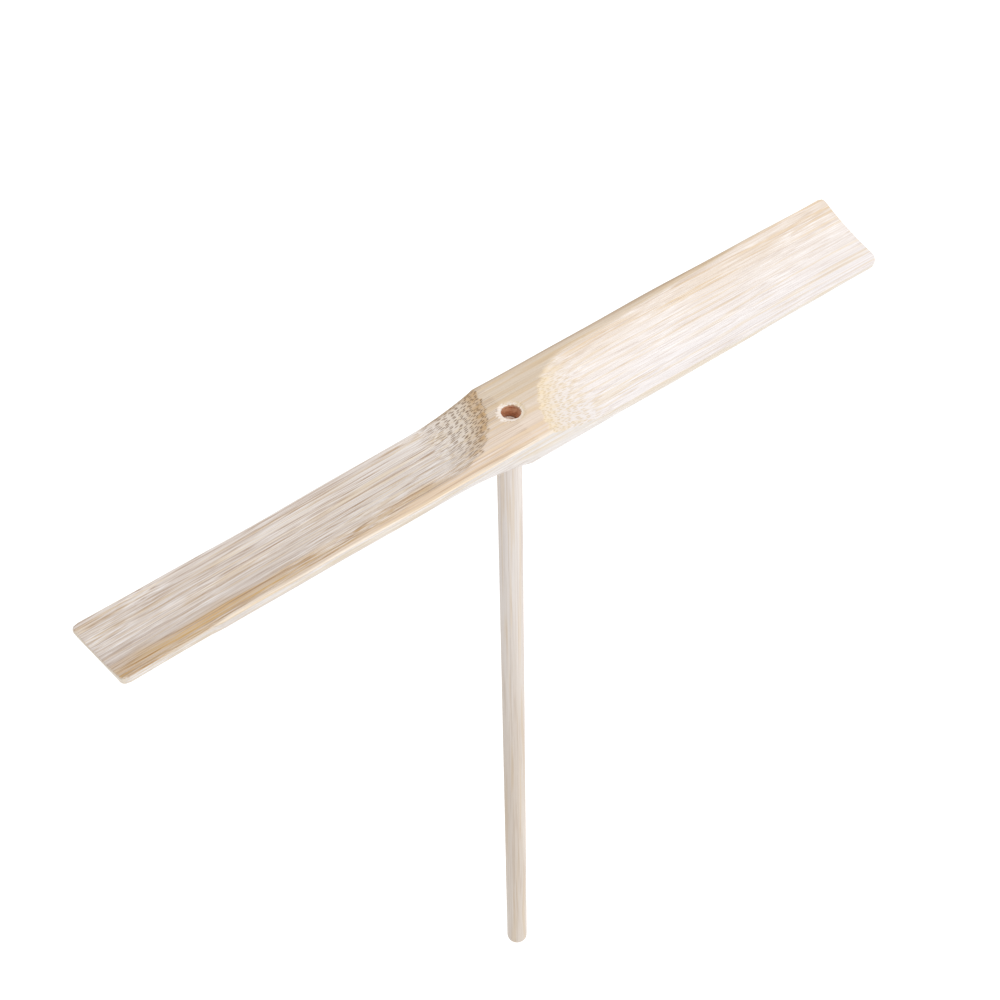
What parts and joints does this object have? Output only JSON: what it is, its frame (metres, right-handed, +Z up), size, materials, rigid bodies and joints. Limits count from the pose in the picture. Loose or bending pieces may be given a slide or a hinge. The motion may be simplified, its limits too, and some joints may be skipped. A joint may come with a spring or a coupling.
{
  "type": "bamboo-copter",
  "caption": "Hand-spun flying toy: a flat bamboo blade with two scooped, oppositely pitched wings, pushed onto the turned-down end of a round stick.",
  "frame": {"origin": "on the spin axis at the stick's shoulder, where the underside of the hub rests", "axes": "+Z up the spin axis from the stick to the blade, +X along the blade from the hub towards one wing, +Y across the blade towards that wing's upper edge"},
  "size_m": [0.1805, 0.0192, 0.1881],
  "materials": {
    "split_bamboo": "raw, smoothly cut, fine lengthwise fibres with a slight silky sheen",
    "bamboo_rod": "raw, machine-rounded, faint lengthwise grain"
  },
  "bodies": {
    "stick": {"spin_stick": "bamboo_rod"},
    "blade": {"rotor_blade": "split_bamboo"}
  },
  "joints": [
    {"name": "blade_pull_off", "type": "slide", "parent": "stick", "child": "blade", "axis": [0, 0, 1], "range_m": [0, 0.02]}
  ]
}
